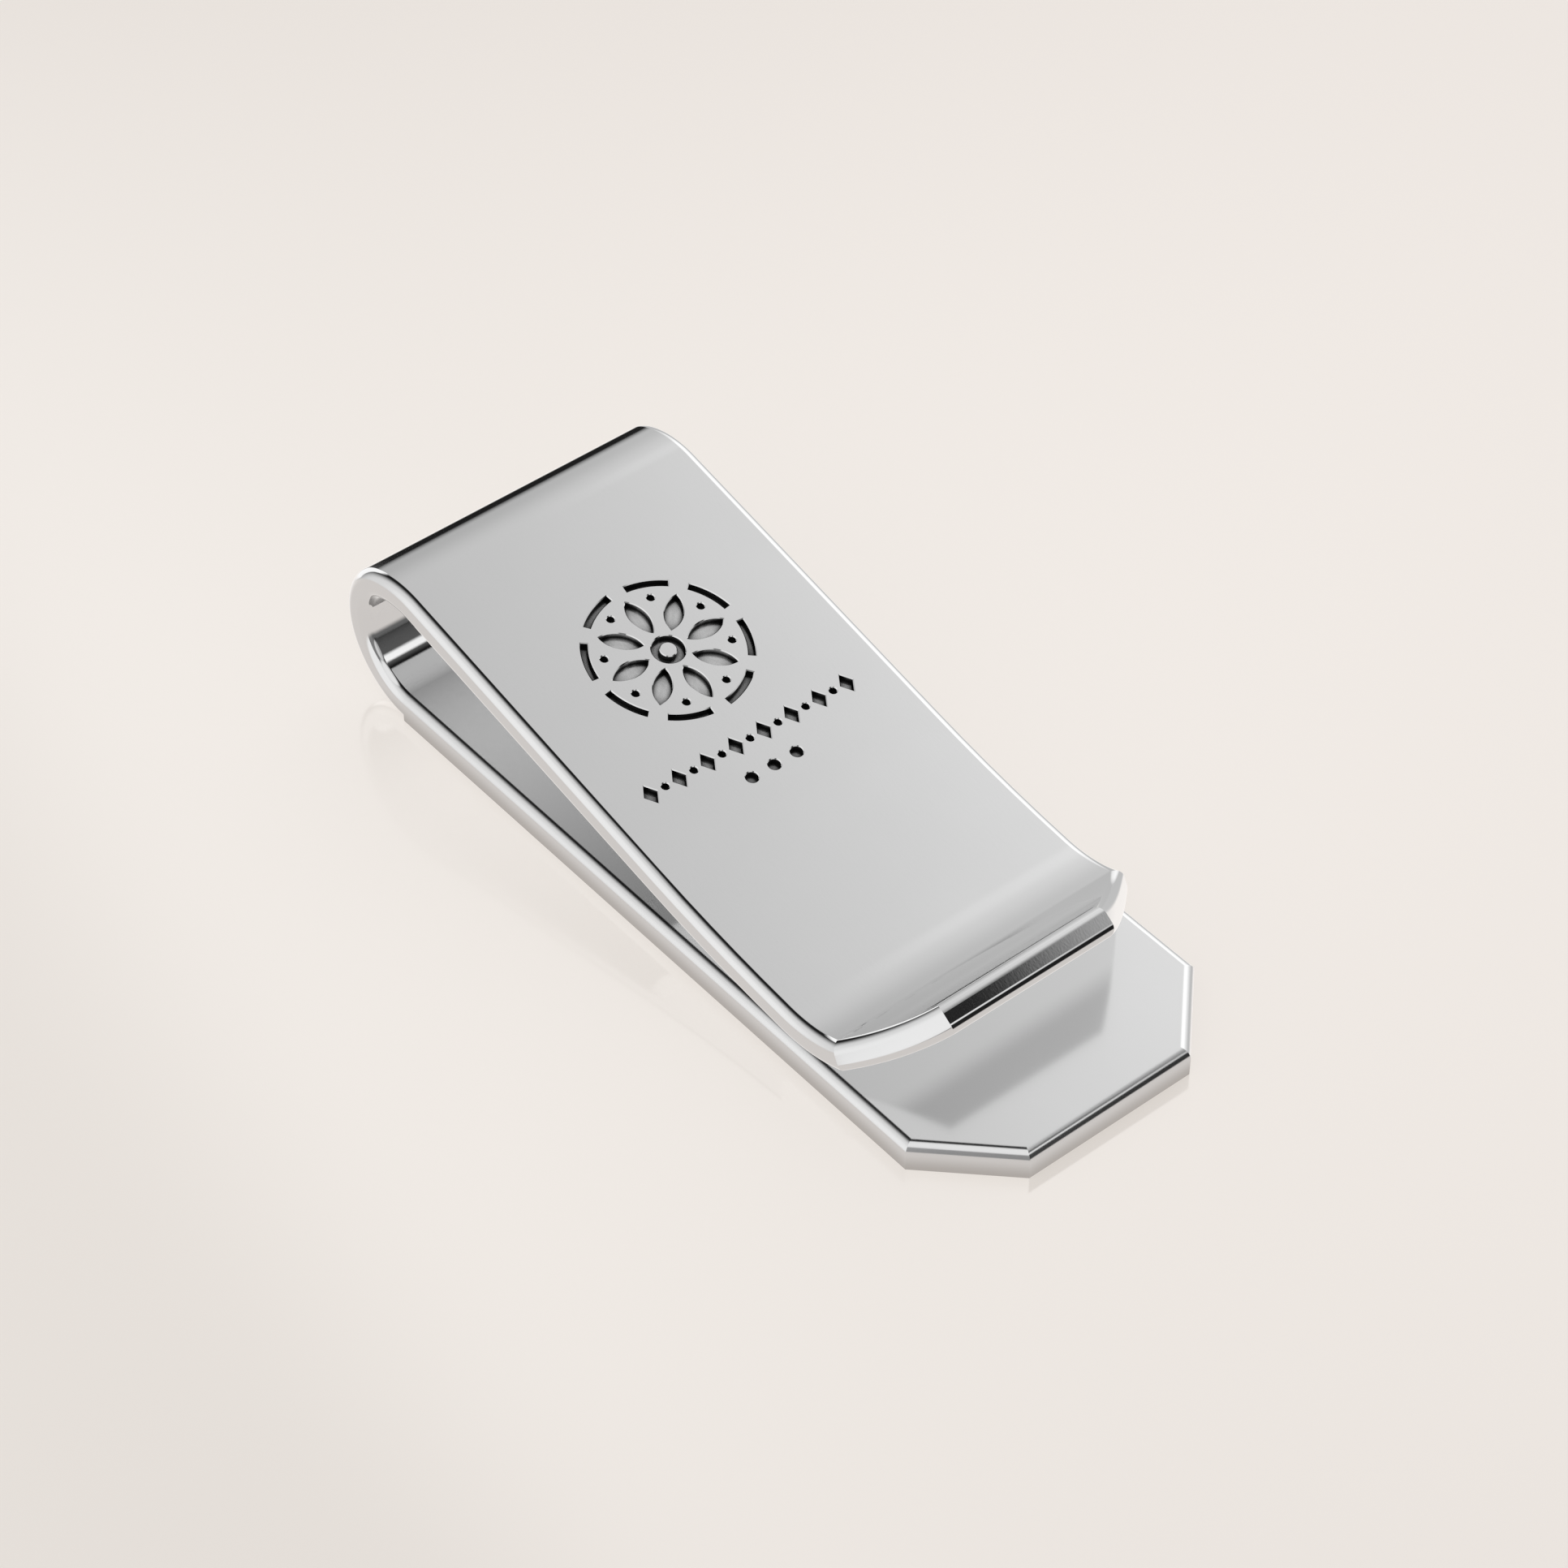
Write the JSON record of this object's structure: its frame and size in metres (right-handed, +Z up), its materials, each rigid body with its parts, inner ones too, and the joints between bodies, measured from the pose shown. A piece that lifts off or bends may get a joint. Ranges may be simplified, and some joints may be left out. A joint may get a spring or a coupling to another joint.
{
  "type": "money clip",
  "caption": "Folded-strip spring money clip with a flat base plate, rounded rear bend, sloping engraved arm and turned-up lip with clipped corners.",
  "frame": {"origin": "middle of the overall length and width, on the surface that the base plate rests on", "axes": "+X from the bend to the open end, +Y across the strip, +Z up from the base plate to the arm"},
  "size_m": [0.0524, 0.02, 0.0099],
  "materials": {
    "polished_silver": "mirror-polished sterling silver"
  },
  "bodies": {
    "base": {"base_plate": "polished_silver", "lower_bend": "polished_silver", "spring_back": "polished_silver"},
    "arm": {"crown_bend": "polished_silver", "shoulder_bend": "polished_silver", "clip_arm": "polished_silver", "jaw": "polished_silver", "thumb_lip": "polished_silver"}
  },
  "joints": [
    {"name": "spring_open", "type": "hinge", "parent": "base", "child": "arm", "pos_m": [-0.02501, 0, 0.00505], "axis": [0, -1, 0], "range_deg": [0, 8], "stiffness_Nm_per_rad": 20, "springref_deg": -1.15, "deforming": ["spring_back"]}
  ]
}
